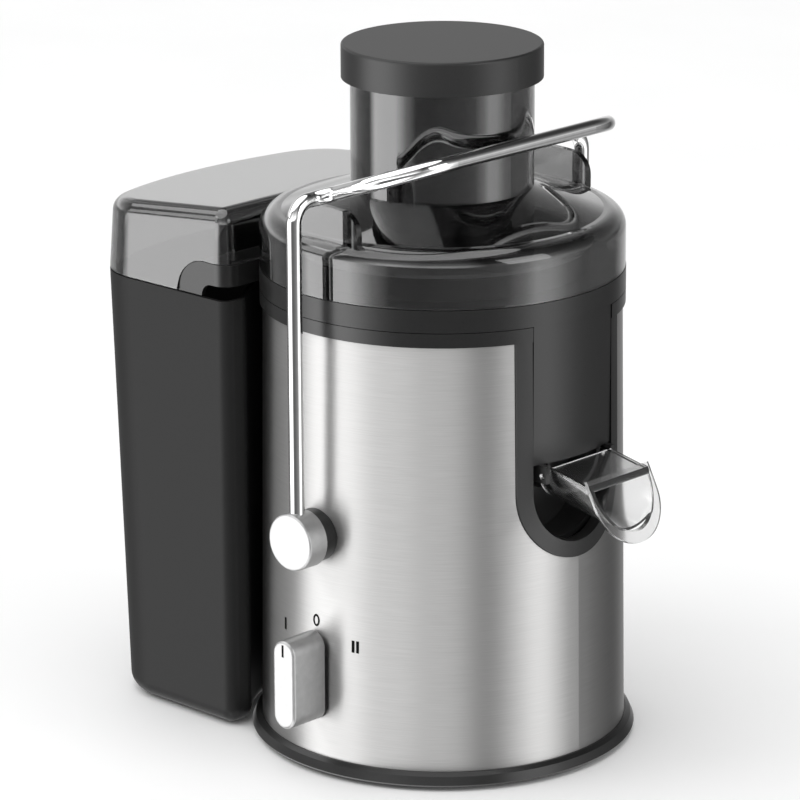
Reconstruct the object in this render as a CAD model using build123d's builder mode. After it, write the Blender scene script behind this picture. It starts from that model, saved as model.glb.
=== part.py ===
"""Centrifugal juicer: a motor base, a juice bowl, a spinning filter basket, a lid with a feed
chute and a pusher, a locking bail, a drip spout and a pulp container.

Millimetres. Z is up and is the axis that the basket turns about, and Z = 0 is the table.
+X is the side of the spout, -X the side of the pulp container, -Y the front with the knobs.
"""

import os
from math import cos, radians, sin

from build123d import *

# ---- driving dimensions -------------------------------------------------------------------

seat_gap = 0.3              # between stacked parts that lift off each other
running_gap = 0.05          # radial, between a shaft and its bearing, bush or bore

# base and steel sleeve
foot_height = 1.5
base_ring_height = 6.0
base_ring_flare = 4.6       # past the foot of the sleeve
sleeve_height = 194.8
sleeve_bottom_radius = 83.4
sleeve_taper = 2.5          # on the radius, foot to top
sleeve_wall = 0.8

# upper housing
collar_height = 6.7
collar_overhang = 1.3
housing_gap = 0.6
housing_wall = 2.2
tub_depth = 71.0
deck_thickness = 3.0

# outlet frame and pocket
outlet_half_width = 26.0
outlet_frame_width = 7.3
outlet_centre_drop = 5.0    # below the deck
outlet_frame_proud = 0.9
pocket_depth = 21.3         # in from the bore of the housing

# juice bowl
band_height = 10.0
bowl_wall = 2.5
bowl_tub_gap = 11.3         # to the bore of the housing
bowl_floor_gap = 5.0
divider_rise = 9.7
apron_gap = 0.6
apron_rise = 8.0            # above the deck
duct_radius = 17.5
duct_reach = 1.7            # past the bore of the housing

# filter basket
rim_gap = 0.8
rim_height = 3.4
basket_depth = 53.8
basket_floor_margin = 3.0   # past the chute
basket_sheet = 0.8
mesh_to_tub = 2.3

# lid, chute and pusher
lid_wall = 2.5
lid_side_height = 25.4
lid_edge_radius = 8.0
dome_rise = 11.0
chute_radius = 41.0
chute_height = 48.4
chute_taper = 3.0           # on the radius
chute_to_disc = 8.0
pusher_gap = 0.8
pusher_wall = 2.2
pusher_to_disc = 14.0
cap_height = 15.3
cap_overhang = 4.0          # past the chute

# pulp container, its saddle and its cover
container_set_in = 14.5     # of its sides, from the radius that hugs the base
container_length = 76.5     # from the side that hugs the base to the far side
container_foot_set_back = 8.0
container_wall = 2.2
container_gap = 5.1
container_tip_wrap = 24.5   # how far the tips reach round the base
saddle_set_back = 9.5
saddle_radius = 15.8
cover_slope = 5.7           # degrees, fall of the cover away from the lid
cover_draft = 4.0           # degrees

# bail
bail_rod_radius = 3.4
bail_pivot_drop = 24.1      # below the deck's underside
bail_leg_seat = 5.6         # from the knob's back to the rod's middle
bail_arm_half_width = 75.0
bail_shoulder_rise = 18.5   # above the lid's shoulder
bail_arm_gap = 3.6          # between the rod and the chute
bail_arm_rise = 17.3
pivot_knob_radius = 13.0
pivot_knob_length = 10.6
pivot_knob_gap = 5.0        # between the foot of the sleeve and the knob
pivot_pin_radius = 4.0
pivot_boss_radius = 9.5

# speed knob
knob_z = 45.5
knob_length = 41.5
knob_width = 13.0
speed_knob_length = 19.8
speed_knob_gap = 0.8        # between the foot of the sleeve and the knob
spindle_radius = 3.0

# spout
spout_wall = 1.5
spout_fall = 11.0           # degrees
spout_pin_reach = 1.5       # past the duct's end
spout_pin_rise = 3.0        # above the deck
spout_length = 33.0         # from its pin
flange_tilt = 27.0          # degrees from upright
flange_half_width = 20.5

# motor
shaft_radius = 4.0
stator_radius = 40.0
stator_height = 35.0
upper_bracket_drop = 19.0   # below the deck's underside
stator_drop = 56.0          # below the upper bracket
lower_bracket_drop = 26.0   # below the stator
armature_radius = 22.0
armature_gap = 0.8
fan_radius = 32.0
coupling_radius = 12.0
coupling_height = 22.0

# ---- heights and radii that follow --------------------------------------------------------

z_base = foot_height
z_shelf = z_base + base_ring_height
z_sleeve_top = z_shelf + sleeve_height
z_collar_top = z_sleeve_top + collar_height
z_band_bottom = z_collar_top + seat_gap
z_band_top = z_band_bottom + band_height
z_lid_bottom = z_band_top + seat_gap
z_shoulder = z_lid_bottom + lid_side_height
z_dome = z_shoulder + dome_rise
z_chute_top = z_dome + chute_height
z_cap_bottom = z_chute_top + seat_gap
z_cap_top = z_cap_bottom + cap_height

z_deck_top = z_collar_top - tub_depth
z_deck_bottom = z_deck_top - deck_thickness
z_bowl_floor = z_deck_top + bowl_floor_gap
z_divider = z_band_top + divider_rise
z_rim = z_divider + rim_gap
z_basket_floor = z_rim - basket_depth
z_chute_end = z_basket_floor + chute_to_disc
z_pusher_end = z_basket_floor + pusher_to_disc
z_split = z_band_top - saddle_radius

sleeve_top_radius = sleeve_bottom_radius - sleeve_taper
base_ring_radius = sleeve_bottom_radius + base_ring_flare
housing_radius = sleeve_top_radius - sleeve_wall - housing_gap
tub_inner_radius = housing_radius - housing_wall
pocket_back_x = tub_inner_radius - pocket_depth
bowl_tub_radius = tub_inner_radius - bowl_tub_gap
duct_end_x = tub_inner_radius + duct_reach
spout_pin_x = duct_end_x + spout_pin_reach
spout_end_x = spout_pin_x + spout_length
spout_pin_z = z_deck_top + spout_pin_rise
apron_bottom_z = z_deck_top + apron_rise
outlet_centre_z = z_deck_top - outlet_centre_drop
collar_radius = sleeve_top_radius + collar_overhang
lid_radius = collar_radius - 0.2
container_inner_radius = base_ring_radius + 0.5
container_far_radius = container_inner_radius + container_length
container_foot_far_radius = container_far_radius - container_foot_set_back
container_half_width = container_inner_radius - container_set_in
container_tip_x = container_inner_radius - container_tip_wrap
saddle_centre_x = container_inner_radius - saddle_set_back
chute_mouth_radius = chute_radius - chute_taper
cap_radius = chute_radius + cap_overhang
basket_floor_radius = chute_radius + basket_floor_margin
chute_bore = chute_radius - lid_wall
mouth_bore = chute_mouth_radius - lid_wall

bail_pivot_z = z_deck_bottom - bail_pivot_drop
bail_shoulder_z = z_shoulder + bail_shoulder_rise
bail_arm_reach = chute_radius + bail_arm_gap + bail_rod_radius
pivot_knob_back = sleeve_bottom_radius + pivot_knob_gap
pivot_knob_face = pivot_knob_back + pivot_knob_length
bail_half_width = pivot_knob_back + bail_leg_seat
knob_back_y = sleeve_bottom_radius + speed_knob_gap
knob_face_y = knob_back_y + speed_knob_length
upper_bracket_z = z_deck_bottom - upper_bracket_drop
stator_bottom_z = upper_bracket_z - stator_drop
lower_bracket_z = stator_bottom_z - lower_bracket_drop

os.makedirs("parts", exist_ok=True)


def sleeve_radius(z):
    """Outer radius of the conical steel sleeve at height z."""
    taper = (sleeve_bottom_radius - sleeve_top_radius) / sleeve_height
    return sleeve_bottom_radius - (z - z_shelf) * taper


def save(builder, name):
    """Label a finished part and write it."""
    builder.part.label = name
    export_step(builder.part, f"parts/{name}.step")


def turned(*points):
    """Draw a closed profile of (radius, z) points on the XZ plane."""
    Polygon(*points, align=None)


def tube_profile(outer, inner, bottom, top):
    """Draw the section of a plain ring."""
    turned((inner, bottom), (outer, bottom), (outer, top), (inner, top))


def u_shape(half_width, centre_z, top_z):
    """Draw a U: a round bottom about centre_z and straight sides, cut level at top_z."""
    with Locations((0, centre_z)):
        Circle(half_width)
    with Locations((0, (centre_z + top_z) / 2)):
        Rectangle(2 * half_width, top_z - centre_z)
    with Locations((0, top_z + half_width)):
        Rectangle(2 * half_width, 2 * half_width, mode=Mode.SUBTRACT)


def front(y):
    """The plane that faces the front at distance y, with X across and Z up."""
    return Plane.XZ.offset(y)


# ---- base ---------------------------------------------------------------------------------

pan_floor = 2.5
pan_wall_radius = sleeve_bottom_radius - sleeve_wall - 0.6
foot_radius = 9.0
foot_circle = sleeve_bottom_radius - 13.4
foot_stem_radius = 3.5
post_radius = 5.0
post_circle = sleeve_bottom_radius - 17.4
screw_radius = 1.8
screw_head_radius = 3.6
screw_head_height = 2.0

with BuildPart() as base_pan:
    with BuildSketch(Plane.XZ):
        turned(
            (0, z_base),
            (base_ring_radius - 1.0, z_base),
            (base_ring_radius, z_base + 1.0),
            (base_ring_radius - 1.6, z_shelf - 1.4),
            (base_ring_radius - 3.6, z_shelf),
            (pan_wall_radius, z_shelf),
            (pan_wall_radius, z_shelf + 8.5),
            (pan_wall_radius - 2.2, z_shelf + 8.5),
            (pan_wall_radius - 2.2, z_base + pan_floor),
            (0, z_base + pan_floor),
        )
    revolve()
    with PolarLocations(foot_circle, 4):
        Hole(foot_stem_radius + 0.1)
    with BuildSketch(Plane.XY.offset(z_base)):
        with PolarLocations(post_circle, 4, start_angle=45):
            Circle(screw_head_radius + 0.3)
    extrude(amount=screw_head_height - 0.4, mode=Mode.SUBTRACT)
    with PolarLocations(post_circle, 4, start_angle=45):
        Hole(screw_radius + 0.15)
    with BuildSketch(Plane.XY.offset(z_base)):
        with PolarLocations(30, 12):
            SlotOverall(18, 3)
    extrude(amount=pan_floor, mode=Mode.SUBTRACT)
save(base_pan, "base_pan")

with BuildPart() as rubber_feet:
    with PolarLocations(foot_circle, 4):
        Cylinder(foot_radius, foot_height, align=(Align.CENTER, Align.CENTER, Align.MIN))
        Cylinder(foot_stem_radius, foot_height + pan_floor, align=(Align.CENTER, Align.CENTER, Align.MIN))
save(rubber_feet, "rubber_feet")

with BuildPart() as base_screws:
    with BuildSketch(Plane.XY.offset(z_base)):
        with PolarLocations(post_circle, 4, start_angle=45):
            Circle(screw_head_radius)
    extrude(amount=screw_head_height - 0.5)
    with BuildSketch(Plane.XY.offset(z_base)):
        with PolarLocations(post_circle, 4, start_angle=45):
            Circle(screw_radius)
    extrude(amount=14)
save(base_screws, "base_screws")

# ---- steel sleeve -------------------------------------------------------------------------

frame_half_width = outlet_half_width + outlet_frame_width
inlet_z = 30.0
inlet_radius = 7.0
sleeve_cut_gap = 0.2

with BuildPart() as steel_sleeve:
    with BuildSketch(Plane.XZ):
        turned(
            (sleeve_bottom_radius - sleeve_wall, z_shelf),
            (sleeve_bottom_radius, z_shelf),
            (sleeve_top_radius, z_sleeve_top),
            (sleeve_top_radius - sleeve_wall, z_sleeve_top),
        )
    revolve()
    with BuildSketch(Plane.YZ.offset(60)):
        u_shape(frame_half_width + sleeve_cut_gap, outlet_centre_z, z_sleeve_top + 5)
    extrude(amount=40, mode=Mode.SUBTRACT)
    with BuildSketch(Plane.XZ):
        with Locations((0, bail_pivot_z)):
            Circle(pivot_boss_radius + sleeve_cut_gap)
    extrude(amount=100, both=True, mode=Mode.SUBTRACT)
    with BuildSketch(Plane.XZ):
        with Locations((0, knob_z)):
            Circle(spindle_radius + 1.0)
    extrude(amount=100, mode=Mode.SUBTRACT)
    with BuildSketch(Plane.XZ):
        with Locations((0, inlet_z)):
            Circle(inlet_radius + sleeve_cut_gap)
    extrude(amount=-100, mode=Mode.SUBTRACT)
save(steel_sleeve, "steel_sleeve")

with BuildPart() as cord_inlet:
    inlet_seat = sleeve_radius(inlet_z)
    with BuildSketch(Plane.XZ.offset(-(inlet_seat + 0.6))):
        with Locations((0, inlet_z)):
            Circle(inlet_radius + 2.0)
            Circle(3.8, mode=Mode.SUBTRACT)
    extrude(amount=-2.4)
    with BuildSketch(Plane.XZ.offset(-(inlet_seat - 4))):
        with Locations((0, inlet_z)):
            Circle(inlet_radius)
            Circle(3.8, mode=Mode.SUBTRACT)
    extrude(amount=-4.6)
save(cord_inlet, "cord_inlet")

# ---- upper housing: collar, tub, deck, outlet frame, pocket, posts and pivot lugs ---------

pocket_wall = 2.2
seal_radius = 12.0
lug_half_width = 13.0
lug_inner_y = housing_radius - 11.5
frame_ring_bottom = outlet_centre_z - frame_half_width - 10.0
cam_radius = 8.0
plunger_gap = 0.25
switch_body_height = 16.0
switch_top = bail_pivot_z - cam_radius - plunger_gap - 3.0
lug_bottom_z = switch_top - switch_body_height + 2.0
bush_outer_radius = pivot_boss_radius

with BuildPart() as outlet_frame_band:
    with BuildSketch(Plane.XZ):
        turned(
            (tub_inner_radius, frame_ring_bottom),
            (sleeve_radius(frame_ring_bottom) + outlet_frame_proud, frame_ring_bottom),
            (sleeve_top_radius + outlet_frame_proud, z_sleeve_top + 1),
            (tub_inner_radius, z_sleeve_top + 1),
        )
    revolve()
    with BuildSketch(Plane.YZ.offset(50)):
        u_shape(frame_half_width, outlet_centre_z, z_sleeve_top + 1)
    extrude(amount=50, mode=Mode.INTERSECT)

with BuildPart() as upper_housing:
    with BuildSketch(Plane.XZ):
        turned(
            (seal_radius, z_deck_bottom),
            (housing_radius, z_deck_bottom),
            (housing_radius, z_sleeve_top + seat_gap),
            (collar_radius, z_sleeve_top + seat_gap),
            (collar_radius, z_collar_top),
            (tub_inner_radius, z_collar_top),
            (tub_inner_radius, z_deck_top),
            (seal_radius, z_deck_top),
        )
    revolve()
    add(outlet_frame_band.part)
    with BuildSketch(Plane.YZ.offset(pocket_back_x)):
        u_shape(outlet_half_width + pocket_wall, outlet_centre_z, z_deck_top)
    extrude(amount=tub_inner_radius - pocket_back_x - 4)
    with BuildSketch(Plane.YZ.offset(pocket_back_x + pocket_wall)):
        u_shape(outlet_half_width, outlet_centre_z, z_collar_top + 1)
    extrude(amount=60, mode=Mode.SUBTRACT)
    with BuildSketch(Plane.XY.offset(z_base + pan_floor)):
        with PolarLocations(post_circle, 4, start_angle=45):
            Circle(post_radius)
    extrude(amount=z_deck_bottom - z_base - pan_floor)
    with BuildSketch(Plane.XY.offset(z_base + pan_floor)):
        with PolarLocations(post_circle, 4, start_angle=45):
            Circle(screw_radius)
    extrude(amount=16, mode=Mode.SUBTRACT)
    for side in (-1, 1):
        lug_middle = side * (lug_inner_y + housing_radius - 2.5) / 2
        with BuildSketch(Plane.XY.offset(lug_bottom_z)):
            with Locations((0, lug_middle)):
                Rectangle(2 * lug_half_width, housing_radius - 2.5 - lug_inner_y)
        extrude(amount=z_deck_bottom - lug_bottom_z)
    with BuildSketch(Plane.XZ):
        with Locations((0, bail_pivot_z)):
            Circle(bush_outer_radius + 0.1)
    extrude(amount=100, both=True, mode=Mode.SUBTRACT)
save(upper_housing, "upper_housing")

# ---- motor --------------------------------------------------------------------------------

bracket_thickness = 4.0
bolt_circle = 36.5
bolt_radius = 2.0
bearing_radius = 11.0
bearing_width = 7.0
mount_circle = 46.0
mount_radius = 7.0
stator_top_z = stator_bottom_z + stator_height
shaft_bottom_z = lower_bracket_z - 6.0

with BuildPart() as motor_upper_bracket:
    with BuildSketch(Plane.XY.offset(upper_bracket_z)):
        Circle(bolt_circle + 6)
        with PolarLocations(mount_circle, 4):
            Circle(mount_radius + 1)
        with PolarLocations(mount_circle / 2, 4):
            Rectangle(mount_circle, 2 * mount_radius)
        Circle(bearing_radius, mode=Mode.SUBTRACT)
        with PolarLocations(24, 4, start_angle=45):
            Circle(7, mode=Mode.SUBTRACT)
        with PolarLocations(bolt_circle, 4, start_angle=45):
            Circle(bolt_radius, mode=Mode.SUBTRACT)
    extrude(amount=bracket_thickness)
    with BuildSketch(Plane.XY.offset(upper_bracket_z)):
        Circle(bearing_radius + 3)
        Circle(bearing_radius, mode=Mode.SUBTRACT)
    extrude(amount=bearing_width + 1)
save(motor_upper_bracket, "motor_upper_bracket")

with BuildPart() as motor_lower_bracket:
    with BuildSketch(Plane.XY.offset(lower_bracket_z)):
        Circle(bolt_circle + 6)
        Circle(bearing_radius, mode=Mode.SUBTRACT)
        with PolarLocations(25, 4):
            Circle(8, mode=Mode.SUBTRACT)
        with PolarLocations(bolt_circle, 4, start_angle=45):
            Circle(bolt_radius, mode=Mode.SUBTRACT)
    extrude(amount=bracket_thickness)
    with BuildSketch(Plane.XY.offset(lower_bracket_z)):
        Circle(bearing_radius + 3)
        Circle(bearing_radius, mode=Mode.SUBTRACT)
    extrude(amount=bearing_width)
save(motor_lower_bracket, "motor_lower_bracket")

with BuildPart() as motor_mounts:
    with BuildSketch(Plane.XY.offset(upper_bracket_z + bracket_thickness)):
        with PolarLocations(mount_circle, 4):
            Circle(mount_radius)
    extrude(amount=z_deck_bottom - upper_bracket_z - bracket_thickness)
save(motor_mounts, "motor_mounts")

for bearing_name, bearing_z in (
    ("upper_bearing", upper_bracket_z),
    ("lower_bearing", lower_bracket_z),
):
    with BuildPart() as bearing:
        with BuildSketch(Plane.XY.offset(bearing_z)):
            Circle(bearing_radius)
            Circle(shaft_radius + running_gap, mode=Mode.SUBTRACT)
        extrude(amount=bearing_width)
    save(bearing, bearing_name)

with BuildPart() as motor_bolts:
    with BuildSketch(Plane.XY.offset(lower_bracket_z)):
        with PolarLocations(bolt_circle, 4, start_angle=45):
            Circle(bolt_radius)
    extrude(amount=upper_bracket_z + bracket_thickness - lower_bracket_z)
    with BuildSketch(Plane.XY.offset(lower_bracket_z)):
        with PolarLocations(bolt_circle, 4, start_angle=45):
            RegularPolygon(2 * bolt_radius, 6)
    extrude(amount=-3)
save(motor_bolts, "motor_bolts")

coil_inner = 25.0
coil_outer = 33.0
coil_overhang = 6.0
coil_span = 116.0


def coil_sector(clearance):
    """Draw the section of one field coil, grown by a clearance on every side."""
    half = radians(coil_span / 2) + clearance / coil_inner
    reach = 3 * coil_outer
    Polygon(
        (0, 0),
        (reach * cos(half), -reach * sin(half)),
        (3 * reach, 0),
        (reach * cos(half), reach * sin(half)),
        align=None,
    )
    Circle(coil_outer + clearance, mode=Mode.INTERSECT)
    Circle(coil_inner - clearance, mode=Mode.SUBTRACT)


with BuildSketch() as coil_section:
    coil_sector(0)
with BuildSketch() as coil_slot:
    coil_sector(0.3)

with BuildPart() as stator_core:
    with BuildSketch(Plane.XY.offset(stator_bottom_z)):
        Circle(stator_radius)
        Circle(armature_radius + armature_gap, mode=Mode.SUBTRACT)
        with PolarLocations(0, 2):
            add(coil_slot.sketch, mode=Mode.SUBTRACT)
        with PolarLocations(bolt_circle, 4, start_angle=45):
            Circle(bolt_radius, mode=Mode.SUBTRACT)
    extrude(amount=stator_height)
save(stator_core, "stator_core")

with BuildPart() as field_coils:
    with BuildSketch(Plane.XY.offset(stator_bottom_z - coil_overhang)):
        with PolarLocations(0, 2):
            add(coil_section.sketch)
    extrude(amount=stator_height + 2 * coil_overhang)
save(field_coils, "field_coils")

commutator_radius = 11.0
commutator_z = lower_bracket_z + 9.0
commutator_height = 10.0
brush_size = 6.0
brush_length = 14.0

with BuildPart() as brush_holders:
    for side in (-1, 1):
        with BuildSketch(Plane.YZ.offset(side * (commutator_radius + 3))):
            with Locations((0, commutator_z + commutator_height / 2)):
                Rectangle(brush_size + 4, brush_size + 4)
                Rectangle(brush_size + 0.2, brush_size + 0.2, mode=Mode.SUBTRACT)
        extrude(amount=side * 20)
save(brush_holders, "brush_holders")

with BuildPart() as carbon_brushes:
    for side in (-1, 1):
        with BuildSketch(Plane.YZ.offset(side * (commutator_radius + 0.1))):
            with Locations((0, commutator_z + commutator_height / 2)):
                Rectangle(brush_size, brush_size)
        extrude(amount=side * brush_length)
    with BuildSketch(Plane.XY.offset(commutator_z)):
        Circle(commutator_radius + running_gap)
    extrude(amount=commutator_height, mode=Mode.SUBTRACT)
save(carbon_brushes, "carbon_brushes")

z_coupling = z_deck_top + 7.0
z_shaft_top = z_coupling + coupling_height - 4.0

with BuildPart() as motor_shaft:
    with BuildSketch(Plane.XY.offset(shaft_bottom_z)):
        Circle(shaft_radius)
    extrude(amount=z_shaft_top - shaft_bottom_z)
    chamfer(motor_shaft.edges().group_by(Axis.Z)[-1], 0.6)
save(motor_shaft, "motor_shaft")

with BuildPart() as armature_core:
    with BuildSketch(Plane.XY.offset(stator_bottom_z)):
        Circle(armature_radius)
        Circle(shaft_radius, mode=Mode.SUBTRACT)
        with PolarLocations(armature_radius - 2, 12):
            Rectangle(5, 2, mode=Mode.SUBTRACT)
    extrude(amount=stator_height)
save(armature_core, "armature_core")

with BuildPart() as commutator:
    with BuildSketch(Plane.XY.offset(commutator_z)):
        Circle(commutator_radius)
        Circle(shaft_radius, mode=Mode.SUBTRACT)
    extrude(amount=commutator_height)
save(commutator, "commutator")

fan_z = stator_top_z + coil_overhang + 3.0
fan_height = 9.0

with BuildPart() as cooling_fan:
    with BuildSketch(Plane.XY.offset(fan_z)):
        Circle(fan_radius)
        Circle(shaft_radius, mode=Mode.SUBTRACT)
    extrude(amount=1.5)
    with BuildSketch(Plane.XY.offset(fan_z)):
        Circle(shaft_radius + 4)
        Circle(shaft_radius, mode=Mode.SUBTRACT)
        with PolarLocations((shaft_radius + 3 + fan_radius) / 2, 9):
            Rectangle(fan_radius - shaft_radius - 4, 1.6)
    extrude(amount=fan_height)
save(cooling_fan, "cooling_fan")

with BuildPart() as shaft_seal:
    with BuildSketch(Plane.XZ):
        turned(
            (shaft_radius + running_gap, z_deck_bottom),
            (seal_radius, z_deck_bottom),
            (seal_radius, z_deck_top),
            (shaft_radius + 3, z_deck_top + 2.0),
            (shaft_radius + running_gap, z_deck_top + 2.0),
        )
    revolve()
save(shaft_seal, "shaft_seal")

with BuildPart() as drive_coupling:
    with BuildSketch(Plane.XY.offset(z_coupling)):
        Circle(coupling_radius - 1.5)
        with PolarLocations(coupling_radius - 2, 6):
            Circle(2)
    extrude(amount=coupling_height)
    with BuildSketch(Plane.XY.offset(z_coupling)):
        Circle(shaft_radius)
    extrude(amount=z_shaft_top - z_coupling, mode=Mode.SUBTRACT)
save(drive_coupling, "drive_coupling")

# ---- controls -----------------------------------------------------------------------------

switch_depth = 20.0
switch_front_y = housing_radius - 10.5
switch_width = 30.0

with BuildPart() as rotary_switch:
    with BuildSketch(front(switch_front_y)):
        with Locations((0, knob_z)):
            RectangleRounded(switch_width, switch_width, 3)
    extrude(amount=-switch_depth)
    with BuildSketch(front(switch_front_y + 8)):
        with Locations((0, knob_z)):
            Circle(spindle_radius + 3)
    extrude(amount=-8)
    with BuildSketch(front(switch_front_y + 8)):
        with Locations((0, knob_z)):
            Circle(spindle_radius + running_gap)
    extrude(amount=-8 - switch_depth / 2, mode=Mode.SUBTRACT)
save(rotary_switch, "rotary_switch")

with BuildPart() as switch_spindle:
    with BuildSketch(front(switch_front_y - switch_depth / 2 + 0.3)):
        with Locations((0, knob_z)):
            Circle(spindle_radius)
    extrude(amount=knob_face_y - 5 - switch_front_y + switch_depth / 2 - 0.3)
save(switch_spindle, "switch_spindle")

with BuildPart() as speed_knob:
    with BuildSketch(front(knob_back_y)):
        with Locations((0, knob_z)):
            SlotOverall(knob_length, knob_width, rotation=90)
    extrude(amount=knob_face_y - knob_back_y)
    fillet(speed_knob.faces().sort_by(Axis.Y)[0].edges(), 1.5)
    with BuildSketch(front(knob_back_y)):
        with Locations((0, knob_z)):
            Circle(spindle_radius)
    extrude(amount=knob_face_y - 5 - knob_back_y, mode=Mode.SUBTRACT)
save(speed_knob, "speed_knob")

board_x = -54.0
board_height = 14.0
board_thickness = 1.6

with BuildPart() as control_board:
    with BuildSketch(Plane.XY.offset(z_base + pan_floor)):
        with Locations((board_x, 0)):
            with GridLocations(18, 26, 2, 2):
                Circle(2.5)
    extrude(amount=board_height)
    with BuildSketch(Plane.XY.offset(z_base + pan_floor + board_height)):
        with Locations((board_x, 0)):
            Rectangle(26, 34)
    extrude(amount=board_thickness)
    with BuildSketch(Plane.XY.offset(z_base + pan_floor + board_height + board_thickness)):
        with Locations((board_x - 4, -6)):
            Rectangle(10, 14)
        with Locations((board_x + 6, 8)):
            Circle(5)
    extrude(amount=11)
save(control_board, "control_board")

# ---- bail pivots --------------------------------------------------------------------------

boss_outer_y = pivot_knob_back - seat_gap
boss_flange_radius = 12.0

with BuildPart() as sleeve_envelope:
    with BuildSketch(Plane.XZ):
        turned(
            (0, z_shelf),
            (sleeve_bottom_radius + 0.1, z_shelf),
            (sleeve_top_radius + 0.1, z_sleeve_top),
            (0, z_sleeve_top),
        )
    revolve()

with BuildPart() as pivot_bosses:
    with BuildSketch(Plane.XZ):
        with Locations((0, bail_pivot_z)):
            Circle(boss_flange_radius)
    extrude(amount=boss_outer_y, both=True)
    add(sleeve_envelope.part, mode=Mode.SUBTRACT)
    with BuildSketch(Plane.XZ):
        with Locations((0, bail_pivot_z)):
            Circle(pivot_boss_radius)
    extrude(amount=boss_outer_y - 1, both=True)
    with BuildSketch(Plane.XZ):
        with Locations((0, bail_pivot_z)):
            Circle(pivot_boss_radius + 1)
    extrude(amount=lug_inner_y + 1, both=True, mode=Mode.SUBTRACT)
    with BuildSketch(Plane.XZ):
        with Locations((0, bail_pivot_z)):
            Circle(pivot_pin_radius + running_gap)
    extrude(amount=boss_outer_y, both=True, mode=Mode.SUBTRACT)
save(pivot_bosses, "pivot_bosses")

for knob_name, knob_side in (("front_pivot_knob", 1), ("rear_pivot_knob", -1)):
    with BuildPart() as pivot_knob:
        with BuildSketch(front(knob_side * pivot_knob_back)):
            with Locations((0, bail_pivot_z)):
                Circle(pivot_knob_radius)
        extrude(amount=knob_side * (pivot_knob_face - pivot_knob_back))
        fillet(pivot_knob.edges().sort_by(Axis.Y)[0 if knob_side > 0 else -1], 1.0)
        with BuildSketch(front(knob_side * pivot_knob_back)):
            with Locations((0, bail_pivot_z)):
                Circle(pivot_pin_radius)
        extrude(amount=knob_side * 2.0, mode=Mode.SUBTRACT)
        with BuildSketch(Plane.XY.offset(bail_pivot_z + 3)):
            with Locations((0, -knob_side * bail_half_width)):
                Circle(bail_rod_radius)
        extrude(amount=pivot_knob_radius, mode=Mode.SUBTRACT)
    save(pivot_knob, knob_name)

cam_y = lug_inner_y - 3.0
cam_width = 5.0

with BuildPart() as pivot_pins:
    for side in (-1, 1):
        with BuildSketch(front(side * cam_y)):
            with Locations((0, bail_pivot_z)):
                Circle(pivot_pin_radius)
        extrude(amount=side * (pivot_knob_back + 2.0 - cam_y))
save(pivot_pins, "pivot_pins")

with BuildPart() as locking_bail:
    with BuildLine() as bail_path:
        FilletPolyline(
            (0, -bail_half_width, bail_pivot_z + 3),
            (0, -bail_half_width, bail_shoulder_z),
            (0, -bail_arm_half_width, bail_shoulder_z),
            (bail_arm_reach, -bail_arm_half_width, bail_shoulder_z + bail_arm_rise),
            (bail_arm_reach, bail_arm_half_width, bail_shoulder_z + bail_arm_rise),
            (0, bail_arm_half_width, bail_shoulder_z),
            (0, bail_half_width, bail_shoulder_z),
            (0, bail_half_width, bail_pivot_z + 3),
            radius=[9, 9, 30, 30, 9, 9],
        )
    with BuildSketch(Plane(origin=(0, -bail_half_width, bail_pivot_z + 3), z_dir=(0, 0, 1))):
        Circle(bail_rod_radius)
    sweep(path=bail_path.line)
save(locking_bail, "locking_bail")

# interlock: a spiral cam on the front pin lets a plunger rise as the bail swings open
cam_drop = 2.0
bail_travel = 100.0
plunger_radius = 1.5
plunger_length = 8.0


def cam_point(share):
    """Point of the cam's outline at a share of the bail's travel, from straight down to +X."""
    angle = radians(bail_travel * share)
    radius = cam_radius - cam_drop * share
    return (radius * sin(angle), bail_pivot_z - radius * cos(angle))


with BuildPart() as interlock_cam:
    with BuildSketch(front(cam_y - cam_width)):
        with BuildLine():
            lead_in = (-3.0, bail_pivot_z - cam_radius)
            Polyline(lead_in, cam_point(0))
            Spline(*[cam_point(step / 8) for step in range(9)])
            Polyline(
                cam_point(1),
                (cam_point(1)[0], bail_pivot_z + 6),
                (-3.0, bail_pivot_z + 6),
                lead_in,
            )
        make_face()
    extrude(amount=cam_width)
save(interlock_cam, "interlock_cam")

plunger_y = cam_y - cam_width / 2
plunger_top = bail_pivot_z - cam_radius - plunger_gap

with BuildPart() as switch_plunger:
    with BuildSketch(Plane.XY.offset(plunger_top - plunger_length)):
        with Locations((0, -plunger_y)):
            Circle(plunger_radius)
    extrude(amount=plunger_length)
    fillet(switch_plunger.edges().group_by(Axis.Z)[-1], 0.8)
save(switch_plunger, "switch_plunger")

with BuildPart() as safety_switch:
    with BuildSketch(Plane.XY.offset(switch_top - switch_body_height)):
        with Locations((0, -plunger_y)):
            Rectangle(20, 2 * (lug_inner_y - plunger_y))
    extrude(amount=switch_body_height)
    with BuildSketch(Plane.XY.offset(switch_top - switch_body_height + 4)):
        with Locations((0, -plunger_y)):
            Circle(plunger_radius + running_gap)
    extrude(amount=switch_body_height, mode=Mode.SUBTRACT)
save(safety_switch, "safety_switch")

# ---- juice bowl ---------------------------------------------------------------------------

hub_outer = coupling_radius + 6.0
hub_inner = coupling_radius + 3.5
z_hub_top = z_deck_top + 32.0
skirt_gap = 0.4
skirt_radius = tub_inner_radius - skirt_gap
saddle_half_width = container_half_width - 1.0
saddle_end_x = saddle_centre_x + saddle_radius
arch_radius = z_band_bottom - z_split
apron_outer = collar_radius - 0.4
spout_pin_radius = 1.5
spout_inner = duct_radius + 0.6
spout_outer = spout_inner + spout_wall
ear_inner_y = spout_outer + 0.8
ear_thickness = 2.5


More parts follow.
